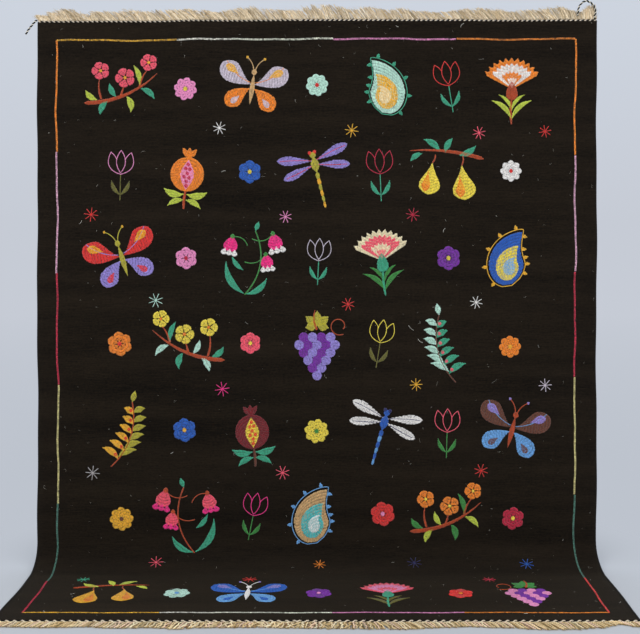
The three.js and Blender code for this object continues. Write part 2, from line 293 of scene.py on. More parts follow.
def mesh_piece(name, flat, triangles, material, nodes=(), colours=None, frame_mm=None):
    """A mesh from flat points, riding on the rug. frame_mm is the (u, v) box that its baked surface fills."""
    points = drape(flat)
    corners = points[triangles]
    if np.einsum("ij,ij->", corners[:, 0], np.cross(corners[:, 1], corners[:, 2])) < 0:
        triangles = triangles[:, ::-1]
    mesh = bpy.data.meshes.new(name)
    mesh.vertices.add(len(points))
    mesh.vertices.foreach_set("co", points.astype(np.float32).ravel())
    mesh.loops.add(triangles.size)
    mesh.loops.foreach_set("vertex_index", np.ascontiguousarray(triangles, np.int32).ravel())
    mesh.polygons.add(len(triangles))
    mesh.polygons.foreach_set("loop_start", np.arange(0, triangles.size, 3, dtype=np.int32))
    mesh.polygons.foreach_set("use_smooth", np.ones(len(triangles), bool))
    mesh.update(calc_edges=True)
    mesh.materials.append(material)
    if frame_mm is not None:
        (u0, v0), (u1, v1) = frame_mm
        places = (flat[triangles.ravel(), :2] - (u0, v1)) / (u1 - u0, v0 - v1)
        layer = mesh.uv_layers.new(name="OFBake")
        layer.data.foreach_set("uv", places.astype(np.float32).ravel())
    if colours is not None:
        layer = mesh.color_attributes.new("thread", "FLOAT_COLOR", "POINT")
        layer.data.foreach_set("color", np.ascontiguousarray(colours, np.float32).ravel())
    piece = bpy.data.objects.new(name, mesh)
    bpy.context.scene.collection.objects.link(piece)
    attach(piece, "root")
    if nodes:
        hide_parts(*nodes)
    return piece


twined_yarn = spun_yarn("twined_cotton_and_wool", roughness=0.9, sheen=0.02, spot_mm=0.9, contrast=0.2)


def free_end(name, node, route):
    """A cord of two plies, which takes the place of its solid."""
    centre = resampled(route, 1.2)[None]
    strands = [wound(centre, CORD_DIAMETER / 2 - radius, CORD_TURN, phase) for _, radius, phase in YARNS]
    points, faces = tubes(np.concatenate(strands), np.array([[radius] for _, radius, _ in YARNS]), 8)
    colours = per_point([linear(dye) for dye, _, _ in YARNS], len(points) // len(YARNS))
    piece = mesh_piece(name, points, faces, twined_yarn, [node], colours)


free_end("cord_end_left", "twining_end_left", LEFT_END)
free_end("cord_end_right", "twining_end_right", RIGHT_END)

# The studio
# A pale matt floor that melts into a pale blue-grey room, and two big soft lamps in front and above. They
# are there to show the rug, and are no part of it.
ROOM_HIGH, ROOM_MIDDLE, ROOM_LOW, BOARD = "#ced5e0", "#c6cbd5", "#bdc3cd", "#d1d3d5"
FLOOR_HALF, FLOOR_Z = 9.0, -0.0005
BOARD_ENDS, ROOM_STARTS, ROOM_NEAR = 0.75, 1.15, 2.0
HIGH_FROM = 0.22


def studio_floor():
    """Matt painted board near the rug. Farther out it has the room's own brightness, so no edge shows."""
    material, tree = new_material("studio_floor")
    place = add_node(tree, "ShaderNodeTexCoord").outputs["Object"]
    distance = add_node(tree, "ShaderNodeVectorMath", [(0, place)], operation="LENGTH").outputs["Value"]
    far = add_node(tree, "ShaderNodeMapRange", [("Value", distance)], in_1=BOARD_ENDS, in_2=ROOM_STARTS)
    far.interpolation_type = "SMOOTHSTEP"
    depth = add_node(tree, "ShaderNodeMapRange", [("Value", distance)], in_1=ROOM_NEAR, in_2=FLOOR_HALF)
    ends = {"in_6": linear(ROOM_LOW), "in_7": linear(ROOM_MIDDLE)}
    tone = add_node(tree, "ShaderNodeMix", [(0, depth.outputs[0])], data_type="RGBA", **ends)
    board = add_node(tree, "ShaderNodeBsdfDiffuse", in_Color=linear(BOARD))
    glow = add_node(tree, "ShaderNodeEmission", [("Color", tone.outputs["Result"])])
    links = [(0, far.outputs[0]), (1, board.outputs[0]), (2, glow.outputs[0])]
    blend = add_node(tree, "ShaderNodeMixShader", links)
    add_node(tree, "ShaderNodeOutputMaterial", [("Surface", blend.outputs[0])])
    return material


floor_mesh = bpy.data.meshes.new("floor")
floor_corners = [(x * FLOOR_HALF, y * FLOOR_HALF, FLOOR_Z) for x, y in ((-1, -1), (1, -1), (1, 1), (-1, 1))]
floor_mesh.from_pydata(floor_corners, [], [(0, 1, 2, 3)])
floor_mesh.materials.append(studio_floor())
floor = bpy.data.objects.new("floor", floor_mesh)
bpy.context.scene.collection.objects.link(floor)
floor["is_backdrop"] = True

world = bpy.data.worlds.new("room")
world.use_nodes = True
bpy.context.scene.world = world
sight = add_node(world.node_tree, "ShaderNodeTexCoord").outputs["Generated"]
height = add_node(world.node_tree, "ShaderNodeSeparateXYZ", [(0, sight)]).outputs["Z"]
ramp = add_node(world.node_tree, "ShaderNodeValToRGB", [(0, height)])
ramp.color_ramp.elements[0].position = 0.0
ramp.color_ramp.elements[0].color = linear(ROOM_MIDDLE)
ramp.color_ramp.elements[1].position = HIGH_FROM
ramp.color_ramp.elements[1].color = linear(ROOM_HIGH)
world.node_tree.links.new(ramp.outputs[0], world.node_tree.nodes["Background"].inputs["Color"])
world.node_tree.nodes["Background"].inputs["Strength"].default_value = 1.0

LAMPS = [
    # name, place, what it points at, size, watts
    ("key_lamp", (-1.8, -3.2, 3.0), (0, 0.3, 0.8), 2.2, 60),
    ("fill_lamp", (2.2, -3.0, 2.4), (0, 0.3, 0.8), 2.6, 40),
]
for name, place, target, size, watts in LAMPS:
    lamp_data = bpy.data.lights.new(name, "AREA")
    lamp_data.size = size
    lamp_data.energy = watts
    lamp = bpy.data.objects.new(name, lamp_data)
    bpy.context.scene.collection.objects.link(lamp)
    lamp.location = place
    aim = [t - p for t, p in zip(target, place)]
    lamp.rotation_euler = (math.atan2(math.hypot(aim[0], aim[1]), -aim[2]), 0, math.atan2(-aim[0], aim[1]))

# The ground
# The kilim itself: black wool packed over cotton warps that run from hem to hem, flat-woven and matt. The dye
# varies a little from one weft to the next, and the picks show as fine streaks from side to side.
ACROSS, DOWN = 80, 170
WARP_PITCH, PICK_PITCH = 3.2, 1.1
# A band texture of scale 1 repeats after this length.
BAND_PERIOD = math.pi / 10
WOOL_DEEP, WOOL_WORN, WOOL_SHEEN = "#080503", "#251d14", "#e0cba8"
MOTTLES = [
    # size across and down, in mm, and detail: three in the dye, and the last in the fibres' relief
    (700, 60, 3.0), (45, 2.5, 2.0), (7, 4, 2.0), (20, 1.5, 3.0),
]


def weft_faced_wool():
    """Packed wool weft: nearly black, streaked along the weft, ribbed by the warps, with a dry sheen."""
    material, tree = new_material("weft_faced_wool")
    place = add_node(tree, "ShaderNodeUVMap", uv_map="cloth").outputs["UV"]
    dye, weave = [], []
    for across_mm, down_mm, detail in MOTTLES:
        scale = (1000 / across_mm, 1000 / down_mm, 1)
        scaled = add_node(tree, "ShaderNodeMapping", [("Vector", place)], in_Scale=scale).outputs[0]
        field = add_node(tree, "ShaderNodeTexNoise", [("Vector", scaled)], in_Scale=1.0, in_Detail=detail)
        dye.append(field.outputs["Fac"])
    for pitch_mm, direction in ((WARP_PITCH, "X"), (PICK_PITCH, "Y")):
        wave = add_node(
            tree,
            "ShaderNodeTexWave",
            [("Vector", place)],
            bands_direction=direction,
            in_Scale=BAND_PERIOD * 1000 / pitch_mm,
            in_Distortion=0.6,
            in_Detail=1.0,
        )
        weave.append(wave.outputs["Fac"])
    weave.append(dye.pop())
    sums = []
    for whole, *rest in (dye, weave):
        for part in rest:
            whole = add_node(tree, "ShaderNodeMath", [(0, whole), (1, part)]).outputs[0]
        sums.append(whole)
    fuzz, height = sums
    level = add_node(tree, "ShaderNodeMapRange", [("Value", fuzz)], in_1=1.1, in_2=1.9).outputs[0]
    ends = {"in_6": linear(WOOL_DEEP), "in_7": linear(WOOL_WORN)}
    colour = add_node(tree, "ShaderNodeMix", [(0, level)], data_type="RGBA", **ends)
    bump = add_node(tree, "ShaderNodeBump", [("Height", height)], in_Strength=0.5, in_Distance=0.0004)
    wool = add_node(
        tree,
        "ShaderNodeBsdfPrincipled",
        [("Base Color", colour.outputs["Result"]), ("Normal", bump.outputs[0])],
        in_Roughness=0.92,
        in_Specular_IOR_Level=0.1,
        in_Sheen_Weight=0.04,
        in_Sheen_Roughness=0.6,
        in_Sheen_Tint=linear(WOOL_SHEEN),
    )
    add_node(tree, "ShaderNodeOutputMaterial", [("Surface", wool.outputs[0])])
    return material


wool = weft_faced_wool()
u = np.linspace(-WIDTH / 2, WIDTH / 2, ACROSS + 1)
around_u = np.concatenate([u, u[::-1]])
around_lift = np.repeat([THICKNESS, 0.0], ACROSS + 1)
rings = np.stack(np.broadcast_arrays(around_u, np.linspace(0, LENGTH, DOWN + 1)[:, None], around_lift), -1)
cloth_frame = ((-WIDTH / 2, 0.0), (WIDTH / 2, LENGTH))
cloth_flat, cloth_faces = rings.reshape(-1, 3), skin(1, DOWN + 1, 2 * (ACROSS + 1))
ground = mesh_piece(
    "ground_cloth", cloth_flat, cloth_faces, wool, ["kilim_cloth"], frame_mm=cloth_frame
)
layer = ground.data.uv_layers.new(name="cloth")
corner_of = np.empty(len(ground.data.loops), np.int32)
ground.data.loops.foreach_get("vertex_index", corner_of)
layer.data.foreach_set("uv", (cloth_flat[corner_of, :2] / 1000).astype(np.float32).ravel())

# The selvedges
# Each long edge is bound with black wool that wraps its last warps, so it is a round cord with a shallow
# bulge for each wrap. The real wraps are finer, and are drawn 7 mm wide so that they show. Along the foot the
# cord rests on the floor.
SELVEDGE_RADIUS, SELVEDGE_INSET = 2.5, 1.0
WRAP_PITCH, WRAP_DEPTH = 7.0, 0.14
WRAP_DYE = "#1d1915"
black_yarn = spun_yarn("wrapped_black_wool", roughness=0.9, sheen=0.12, spot_mm=1.0, contrast=0.25)
v = np.arange(-1.0, LENGTH + 2, WRAP_PITCH / 3)
bulge = SELVEDGE_RADIUS * (1 - WRAP_DEPTH + WRAP_DEPTH * np.abs(np.sin(np.pi * v / WRAP_PITCH)))
raised = (SELVEDGE_RADIUS - THICKNESS / 2) * eased(v, LEANING, UPPER_END)
edges = np.stack(np.broadcast_arrays(np.array([[-WIDTH / 2], [WIDTH / 2]]), v, THICKNESS / 2 + raised), -1)
edges[..., 0] -= np.sign(edges[..., 0]) * SELVEDGE_INSET
points, faces = tubes(edges, bulge, 6)
colours = per_point([linear(WRAP_DYE)], len(points))
mesh_piece("selvedges", points, faces, black_yarn, colours=colours)

# The twining
# At each hem two thick yarns, one of cream cotton and one of black wool, are twisted round the warps to lock
# the weft. Each turn shows one slanted cream tooth. The slant reverses at one place of the top row.
TOP_TURN, FRONT_TURN = 13.8, 19.7
REVERSAL = -48.0
TWINED = [
    # dye, its start in the turn, how far out from the row's middle
    ("#efdfc6", 0.0, 0.4),
    (BLACK, np.pi, -0.4),
]
STRAND_TURN, STRAND_FLATNESS, TWINED_STEP = 9.0, 0.8, 1.4
TWINED_ROWS = [
    # name, solid, its middle down and off the cloth, outwards, one turn, ply radius, swing along and off it
    ("twined_row_top", "twining_top", -2.8, THICKNESS / 2, -1, TOP_TURN, 1.55, 2.5, 1.3),
    ("twined_row_front", "twining_bottom", LENGTH + 4.6, 3.9, 1, FRONT_TURN, 1.25, 2.6, 1.8),
]


def twined_row(name, node, middle_v, middle_lift, outwards, turn, ply, swing, heave):
    """Two strands of two plies each, which circle the row's middle in a flat oval."""
    u = np.arange(-WIDTH / 2 + ply, WIDTH / 2 - ply, TWINED_STEP)
    angle = 2 * np.pi * np.abs(u - REVERSAL) / turn
    plies, dyes = [], []
    for dye, start, out in TWINED:
        v = middle_v + outwards * out + swing * np.cos(angle + start)
        path = np.stack([u, v, middle_lift + heave * np.sin(angle + start)], -1)[None]
        for phase in (0.0, np.pi):
            plies.append(wound(path, 0.67 * ply, STRAND_TURN, phase, STRAND_FLATNESS))
            dyes.append(linear(dye))
    points, faces = tubes(np.concatenate(plies), ply, 5, STRAND_FLATNESS)
    colours = per_point(dyes, len(points) // len(dyes))
    mesh_piece(name, points, faces, twined_yarn, [node], colours)


for row in TWINED_ROWS:
    twined_row(*row)

# The top fringe
# The cut ends of the cotton warps, undyed, loose and hairy. They stand above the twining in clumps that lean
# left, a few centimetres tall.
COTTONS = ["#e1ccac", "#d4be9a", "#ead8b8", "#c5ad87"]
cotton = spun_yarn("undyed_cotton", roughness=0.9, sheen=0.08, spot_mm=1.2, contrast=0.16)
CLUMPS = [
    # where each ends to the right, how tall it is above the hem, how far it leans left in degrees
    (-787, 22, 36), (-750, 20, 38), (-720, 26, 44), (-655, 39, 44), (-640, 22, 48),
    (-565, 31, 44), (-540, 28, 44), (-500, 36, 42), (-430, 32, 44), (-325, 34, 44),
    (-195, 28, 40), (-118, 42, 35), (-90, 33, 38), (10, 33, 36), (75, 43, 32),
    (110, 45, 32), (128, 32, 34), (206, 42, 34), (248, 28, 40), (286, 36, 38),
    (310, 28, 42), (440, 26, 42), (510, 34, 38), (545, 38, 36), (614, 28, 42),
    (675, 36, 38), (700, 36, 34), (724, 38, 28), (742, 33, 22), (765, 26, 12),
    (782, 35, 4), (800, 43, 8),
]
ROOT, ROOT_LIFT, BACK_LEAN, DEPTH = -3.6, 4.8, 2.5, 3.6
LOCK_PITCH, TUFT_PITCH = 21.0, 6.0
LOCKS, TUFTS = 200, 500
UNEVEN, LOCK_LEAN, TUFT_LEAN, GATHER = 0.05, 5.0, 4.0, 0.2
LEAN_LIMITS = (-22, 62)
FLUFF_ENDS, ORDERLY_FROM = (-640.0, -420.0), (690.0, 740.0)
CORNER_SHARE, CORNER_CLUMP = 22, 90.0


def along_table(table, u):
    """A table's values at places across, eased from the middle of one stretch to that of the next."""
    ends, *values = np.array(table, float).T
    middles = (ends + np.concatenate([[-WIDTH / 2], ends[:-1]])) / 2
    k = np.clip(np.searchsorted(middles, u), 1, len(middles) - 1)
    share = eased(u, middles[k - 1], middles[k])
    return [value[k - 1] + (value[k] - value[k - 1]) * share for value in values]


def grouped(u, pitch):
    """Which uneven group, a pitch wide on average, each place belongs to, and the group's middle."""
    group = np.floor((u + WIDTH / 2 + 0.3 * pitch * (1 + np.sin(u / pitch * 0.9))) / pitch).astype(int)
    middle = np.bincount(group, u) / np.maximum(np.bincount(group), 1)
    return group, middle[group]


def standing_yarns(count, radius, steps, corners, shortest, longest, unruly):
    """Yarns that rise from the twining. Each shares its lean, height and tone with its lock and its tuft, and
    a lock draws together towards its tip. Near the left corner the locks dissolve into loose fluff."""
    u = rng.uniform(-WIDTH / 2 + 2, WIDTH / 2 - 2, count)
    extra = count // CORNER_SHARE
    u[: 2 * extra] = rng.uniform(WIDTH / 2 - CORNER_CLUMP, WIDTH / 2 - 1, 2 * extra)
    u[:extra] *= -1
    u.sort()
    lock, lock_middle = grouped(u, LOCK_PITCH)
    tuft, _ = grouped(u, TUFT_PITCH)
    calm = eased(u, *FLUFF_ENDS)
    wild = 1.8 - 0.8 * calm
    tall, lean = along_table(CLUMPS, u)
    height = tall * (1 + rng.normal(0, UNEVEN, LOCKS)[lock] + rng.normal(0, UNEVEN, TUFTS)[tuft])
    height = (height + ROOT) * rng.uniform(shortest, longest, count)
    loose = 1 - 0.6 * eased(u, *ORDERLY_FROM)
    lean = lean + loose * (rng.normal(0, LOCK_LEAN, LOCKS)[lock] + rng.normal(0, TUFT_LEAN, TUFTS)[tuft])
    lean = lean + rng.normal(0, unruly, count) * wild
    t = np.linspace(0, 1, steps)
    curl = (rng.normal(5, 1.2 * unruly, count) * wild)[:, None]
    slant = np.radians(np.clip(lean[:, None] + curl * (2 * t - 0.9), *LEAN_LIMITS))
    rise = np.broadcast_to(t * height[:, None], slant.shape)
    leg = np.diff(rise, axis=1) * np.tan((slant[:, 1:] + slant[:, :-1]) / 2)
    across = np.concatenate([np.zeros((count, 1)), np.cumsum(leg, axis=1)], axis=1)
    across = across + (GATHER * calm * (u - lock_middle))[:, None] * t
    forward = rng.uniform(-1, 1, count)
    lift = ROOT_LIFT - BACK_LEAN * t + forward[:, None] * (0.8 + DEPTH * t)
    paths = np.stack([u[:, None] - across, ROOT - rise, lift], -1)
    paths[:, 1:] += rng.normal(0, 0.35, paths[:, 1:].shape)
    points, faces = tubes(paths, radius * (1.1 - 0.4 * t) * rng.uniform(0.75, 1.2, count)[:, None], corners)
    shade = np.array([linear(c) for c in COTTONS])[rng.integers(0, len(COTTONS), count)]
    # Painted shade: yarns that stand farther forward are painted lighter and those farther back darker, on
    # top of each tuft's and each yarn's own random tone.
    tone = 0.92 + 0.2 * forward + rng.normal(0, 0.1, TUFTS)[tuft] + rng.normal(0, 0.16, count)
    shade[:, :3] *= tone[:, None]
    return points, faces, per_point(shade, steps * corners)


def cotton_piece(name, points, faces, colours, *nodes):
    mesh_piece(name, points, faces, cotton, nodes, colours)


yarns = standing_yarns(2400, radius=1.0, steps=6, corners=4, shortest=0.86, longest=1.02, unruly=5)
hairs = standing_yarns(2600, radius=0.3, steps=5, corners=3, shortest=0.4, longest=1.04, unruly=16)
cotton_piece("fringe_top_yarns", *yarns, "fringe_top")
cotton_piece("fringe_top_hairs", *hairs)

# The front fringe
# At the front hem the cotton warps come out below the twining in bundles of thin plied cords. They lie on the
# floor in layers, slanting left on the left half and right on the right half, and curl in the middle.
FRONT_COTTONS = ["#fbe8bf", "#f3dcae", "#fff1cf", "#e6cd9c", "#fbe0c6"]
FRINGE_STRETCHES = [
    # where each ends to the right, how far it reaches beyond the hem, its slant right in degrees, how curly
    (-700, 37, -26, 1.0), (-570, 41, -28, 1.0), (-500, 37, -28, 1.0), (-440, 46, -22, 1.2),
    (-350, 42, -18, 1.5), (-285, 52, -20, 1.5), (-262, 42, -22, 2.5), (-16, 41, -16, 3.5),
    (112, 48, -8, 3.5), (262, 53, 24, 1.5), (330, 41, 22, 1.0), (385, 35, 22, 1.0),
    (500, 43, 22, 1.0), (560, 55, 24, 0.8), (650, 54, 18, 0.8), (690, 43, 26, 1.0),
    (755, 20, 50, 1.0), (800, 38, 12, 2.0),
]
FRINGE_CORDS, FRINGE_STEPS = 560, 18
FRINGE_PLY, FRINGE_OFFSET, FRINGE_TURN = 0.9, 0.85, 13.0
LAYERS = [
    # how high it is piled, how open to the light it is
    (0.0, 0.12),
    (2.2, 0.46),
    (4.4, 1.0),
]
SHUT_IN, DEEPENING, DIM, GAIN = 0.35, 2.0, 0.24, 1.14
UNDER_CORDS, UNDER_STEPS, UNDER_RADIUS = 420, 8, 1.7
UNDER_DEEPENING, UNDER_DIM = 1.9, 0.42
TIP_HAIRS, HAIR_STEPS, HAIR_RADIUS = 1400, 4, 0.32


def cottons(count, spread):
    """A cotton colour for each of so many threads."""
    shade = np.array([linear(c) for c in FRONT_COTTONS])[rng.integers(0, len(FRONT_COTTONS), count)]
    shade[:, :3] *= rng.normal(1.0, spread, count)[:, None]
    return shade


root_u = np.linspace(-WIDTH / 2 + 4, WIDTH / 2 - 4, FRINGE_CORDS) + rng.uniform(-1.2, 1.2, FRINGE_CORDS)
reach, slant, curly = along_table(FRINGE_STRETCHES, root_u)
reach = reach * rng.uniform(0.93, 1.05, FRINGE_CORDS)
slant = np.radians(slant + rng.normal(0, 3.5, FRINGE_CORDS))
t = np.linspace(0, 1, FRINGE_STEPS)
pile, light = np.array(LAYERS)[np.arange(FRINGE_CORDS) % len(LAYERS)].T
bends = rng.normal(0, 1, (FRINGE_CORDS, 3, 1)) / [[1], [1.6], [2.2]] * np.sin(2 * np.pi * t * [[1], [2], [3]])
sway = curly[:, None] * bends.sum(axis=1)
across = (reach * np.tan(slant))[:, None] * t**1.2 + sway
down = LENGTH + 7 + (reach - 7)[:, None] * t
lift = FRINGE_PLY + FRINGE_OFFSET + 0.1 + pile[:, None] * eased(t, -0.1, 0.35) * (1 - 0.6 * eased(t, 0.3, 1))
paths = np.stack([root_u[:, None] + across, down, lift], -1)
plies = np.concatenate([wound(paths, FRINGE_OFFSET, FRINGE_TURN, phase) for phase in (0, np.pi)])
points, faces = tubes(plies, FRINGE_PLY * np.append(np.ones(FRINGE_STEPS - 1), 0.6), 4)

# The lowest warps lie matted on the floor in the others' shade, so they are darker and redder.
under_u = np.linspace(-WIDTH / 2 + 3, WIDTH / 2 - 3, UNDER_CORDS) + rng.uniform(-1, 1, UNDER_CORDS)
under_reach, under_slant, _ = along_table(FRINGE_STRETCHES, under_u)
under_reach *= rng.uniform(0.86, 0.97, UNDER_CORDS)
under_t = np.linspace(0, 1, UNDER_STEPS)
under_slant = np.radians(under_slant + rng.normal(0, 8, UNDER_CORDS))
under_across = (under_reach * np.tan(under_slant))[:, None] * under_t**1.2
under_down = LENGTH + 4 + (under_reach - 4)[:, None] * under_t
under = np.stack([under_u[:, None] + under_across, under_down, np.full(under_down.shape, 1.8)], -1)
under_points, under_faces = tubes(under, UNDER_RADIUS * np.append(np.ones(UNDER_STEPS - 1), 0.6), 4)
shade = cottons(UNDER_CORDS, 0.1)
shade[:, :3] = shade[:, :3] ** UNDER_DEEPENING * UNDER_DIM
cotton_piece("fringe_front_under", under_points, under_faces, per_point(shade, UNDER_STEPS * 4))

# Little light gets in between the two plies or under the upper cords, and what does takes on their colour.
axis = np.concatenate([paths, paths])[:, :, None]
outness = np.linalg.norm(points.reshape(2 * FRINGE_CORDS, FRINGE_STEPS, 4, 3) - axis, axis=-1)
open_to_light = eased(outness, 0.4 * FRINGE_OFFSET, FRINGE_OFFSET + FRINGE_PLY)
open_to_light = SHUT_IN + (1 - SHUT_IN) * open_to_light
open_to_light = (open_to_light * np.tile(light, 2)[:, None, None]).ravel()
colours = per_point(np.tile(cottons(FRINGE_CORDS, 0.08), (2, 1)), FRINGE_STEPS * 4)
open_to_light = open_to_light[:, None]
colours[:, :3] = colours[:, :3] ** (DEEPENING - open_to_light) * (DIM + GAIN * open_to_light)
cotton_piece("fringe_front_cords", points, faces, colours, "fringe_bottom")

# Each cord ends in a soft tuft of loose fibres.
owner = rng.integers(0, FRINGE_CORDS, TIP_HAIRS)
tip = paths[owner, -1] - (paths[owner, -1] - paths[owner, -4]) * rng.uniform(0, 1, TIP_HAIRS)[:, None]
heading = slant[owner] + rng.normal(0, 0.6, TIP_HAIRS)
length = rng.uniform(2.5, 7.0, TIP_HAIRS)
t = np.linspace(0, 1, HAIR_STEPS)
hair_u = tip[:, :1] + (length * np.sin(heading))[:, None] * t + rng.normal(0, 0.5, (TIP_HAIRS, HAIR_STEPS))
hair_v = tip[:, 1:2] + (length * np.cos(heading))[:, None] * t
hair_lift = np.maximum(tip[:, 2:] + rng.uniform(-2, 1.5, (TIP_HAIRS, 1)) * (0.4 + 0.6 * t), 0.4)
points, faces = tubes(np.stack([hair_u, hair_v, hair_lift], -1), HAIR_RADIUS * (1.1 - 0.7 * t), 3)
cotton_piece("fringe_front_hairs", points, faces, per_point(cottons(TIP_HAIRS, 0.1), HAIR_STEPS * 3))

# The embroidery wool
# Crewel wool, two plies lightly twisted, in plain bright dyes. It is worked in satin and long-and-short
# stitch for the fills and in stem stitch for the lines, straight onto the black ground.
DYES = {
    "black": "#231f1e", "white": "#ece7e0", "cream": "#efe0b8", "tan": "#d3ab74", "grey": "#b9b2b0",
    "lilac": "#cfc2cc", "lavender": "#9c8bd0", "purple": "#7d2fa0", "plum": "#5a2340", "navy": "#2b2a5c",
    "royal": "#2660b8", "sky": "#6fa8dc", "turquoise": "#45c0c0", "mint": "#bfe3d0", "teal": "#3fa882",
    "green": "#3f8f3f", "moss": "#6f6a2a", "olive": "#b9ae35", "lime": "#c3cf48", "yellow": "#f0d94a",
    "mustard": "#eeb32c", "orange": "#f08a24", "rust": "#b8481b", "brown": "#6e3f2c", "maroon": "#7c1c22",
    "straw": "#d2c582", "rose": "#dda9bd", "celadon": "#e6e6d0", "bottle": "#4b7a68", "ivory": "#f3eedd",
    "crimson": "#c2213f", "red": "#e0322c", "coral": "#f25b6e", "hotpink": "#ef2f86", "pink": "#eb93c0",
}
ROW_PITCH, STITCH_LENGTH, STITCH_WIDTH = 2.4, 9.0, 3.1
STEM_STITCH, STITCH_RISE, LAYER_RISE = 5.5, 1.2, 0.5
# The outlines' forms: where each is widest, and how blunt its ends are.
LEAF, PETAL, DROP, TAPER, BAND = (1.0, 1.1), (1.8, 0.62), (0.62, 0.8), (0.35, 0.6), (1.0, 0.25)


def disc(middle, radius, wide=1.0):
    t = np.linspace(0, 2 * np.pi, 40, endpoint=False)
    return middle + radius * (wide * np.cos(t) + 1j * np.sin(t))


def blade(start, end, width, form=LEAF, bend=0.0):
    """The outline of a leaf or petal: its spine bows aside by a share of its length, and its form is how its
    half-width swells along it (where it is widest, how blunt its ends are)."""
    t = np.linspace(0, 1, 26)
    spine = start + (end - start) * (t + 4j * bend * t * (1 - t))
    aside = 1j * np.gradient(spine)
    swell, blunt = form
    half = width / 2 * np.sin(np.pi * t**swell) ** blunt * aside / np.abs(aside)
    return np.concatenate([spine + half, (spine - half)[::-1]])


def fan(middle, radius, start, end, teeth, bite):
    """A fan with a toothed rim, from one angle to another in degrees."""
    angle = np.radians(np.linspace(start, end, 2 * teeth + 1))
    rim = radius * np.where(np.arange(2 * teeth + 1) % 2, 1.0, 1.0 - bite)
    return np.concatenate([[middle], middle + rim * np.exp(1j * angle)])


def stitches(dye, start, end, layer, width, tone=(1.0, 0.1)):
    """Stitches as two arrays: their ends, and for each its layer, width and colour, which varies a little."""
    tone = np.array(linear(DYES[dye])[:3]) * np.maximum(rng.normal(*tone, len(start)), 0.2)[:, None]
    looks = np.column_stack([np.full(len(start), layer), width * rng.uniform(0.9, 1.1, len(start)), tone])
    return np.stack([start, end], -1), looks


def fill(dye, outline, along=0.0, layer=0):
    """Long-and-short stitch: rows across an outline at an angle in degrees, with stitches set like bricks."""
    turn = np.exp(1j * math.radians(along))
    corners = outline / turn
    following = np.roll(corners, -1)
    starts, ends = [], []
    for row, y in enumerate(np.arange(corners.imag.min() + ROW_PITCH / 2, corners.imag.max(), ROW_PITCH)):
        crossed = (corners.imag > y) != (following.imag > y)
        a, b = corners[crossed], following[crossed]
        edges = np.sort(a.real + (y - a.imag) / (b.imag - a.imag) * (b.real - a.real))
        for x0, x1 in zip(edges[::2], edges[1::2]):
            count = max(1, round((x1 - x0) / STITCH_LENGTH + 0.5 * (row % 2)))
            shift = 0.5 * (row % 2) if count > 1 else 0.0
            cuts = np.clip(x0 + (np.arange(count + 1) - shift) * (x1 - x0) / (count - shift), x0, x1)
            starts.extend(cuts[:-1] + 1j * y - 0.5)
            ends.extend(cuts[1:] + 1j * y + 0.5)
    starts, ends = np.array(starts, complex), np.array(ends, complex)
    starts, ends = starts + rng.normal(0, 0.4, len(starts)), ends + rng.normal(0, 0.4, len(ends))
    return stitches(dye, starts * turn, ends * turn, layer, STITCH_WIDTH)


def satin(dye, start, end, width, form=LEAF, bend=0.0, layer=0, slant=60):
    """A leaf, petal or stem filled with stitches at a slant to its spine; a slant of 0 runs them along it."""
    along = math.degrees(np.angle(end - start)) + slant
    return fill(dye, blade(start, end, width, form, bend), along, layer)


def bow(start, end, bend=0.0):
    t = np.linspace(0, 1, 30)
    return start + (end - start) * (t + 4j * bend * t * (1 - t))


def line(dye, path, layer=0, width=3.0, lap=0.2, tone=(1.0, 0.1)):
    """Stem stitch: overlapping stitches along a path, each a little aslant."""
    gone = np.concatenate([[0], np.cumsum(np.abs(np.diff(path)))])
    s = np.linspace(0, gone[-1], max(2, round(gone[-1] / STEM_STITCH) + 1))
    places = np.interp(s, gone, path.real) + 1j * np.interp(s, gone, path.imag)
    step = np.diff(places)
    aslant = 0.5j * step / np.abs(step)
    start, end = places[:-1] - lap * step + aslant, places[1:] + lap * step - aslant
    return stitches(dye, start, end, layer, width, tone)


def sewn(*parts):
    return tuple(np.concatenate(columns) for columns in zip(*parts))


def moved(part, to=0.0, size=1.0, turn=0.0, mirrored=False):
    """The same stitches mirrored, scaled, turned by degrees and moved."""
    ends = -part[0].conj() if mirrored else part[0]
    return ends * size * np.exp(1j * math.radians(turn)) + to, part[1]


def both_sides(*parts):
    return sewn(*parts, *(moved(part, mirrored=True) for part in parts))


def ring_of(count, part, turn=0.0):
    return sewn(*(moved(part, turn=turn + 360 * k / count) for k in range(count)))


# The embroidered figures
# Butterflies, dragonflies, paisleys, sprigs, carnations, pomegranates, grapes, bellflowers, leaf sprays and
# pears, each 190 to 220 mm tall or wide, in straight rows with every second row shifted by half a place.


def blossom(petal, heart, petals=5, radius=25.0):
    one = satin(petal, 3 + 0j, radius + 0j, radius * 5.2 / (petals + 1), PETAL, slant=0)
    return sewn(ring_of(petals, one, 90), fill(heart, disc(0, radius * 0.17), layer=1))


def butterfly(fore, hind, spot, body):
    wings = both_sides(
        satin(fore, 5 + 8j, 98 + 66j, 62, PETAL, -0.07, slant=0),
        satin(hind, 5 - 4j, 68 - 66j, 52, PETAL, 0.08, slant=0),
        satin(spot, 46 + 35j, 86 + 59j, 24, PETAL, layer=1),
        satin(fore, 34 - 30j, 58 - 54j, 18, PETAL, layer=1),
        line(hind, bow(8 + 14j, 86 + 70j, -0.1), 1, 2.4),
        line(body, bow(2 + 46j, 26 + 88j, 0.12)),
        fill(spot, disc(27 + 89j, 4)),
    )
    return sewn(wings, satin(body, -52j, 42j, 15, LEAF, slant=90, layer=1), fill(body, disc(46j, 8), layer=1))


